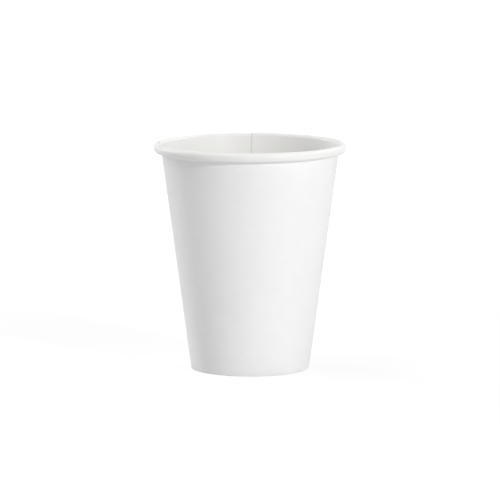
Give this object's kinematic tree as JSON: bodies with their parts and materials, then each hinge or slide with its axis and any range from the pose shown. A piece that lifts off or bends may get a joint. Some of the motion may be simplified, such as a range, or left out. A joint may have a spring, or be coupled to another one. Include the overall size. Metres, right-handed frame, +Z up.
{
  "type": "paper coffee cup",
  "caption": "Plain white single-wall paper cup with a rolled rim, a lapped side seam and a recessed bottom clamped in a folded hem.",
  "frame": {"origin": "on the axis of the bottom piece, in the plane of the table that the cup stands on", "axes": "+Z up out of the cup's mouth; +Y towards the side seam, which is at the back; +X to the right as the picture sees it"},
  "size_m": [0.0796, 0.0798, 0.0936],
  "materials": {
    "wall_board": "satin white coated paperboard",
    "bottom_board": "satin white coated paperboard"
  },
  "bodies": {
    "root": {"sidewall": "wall_board", "bottom_disc": "bottom_board"}
  },
  "joints": []
}
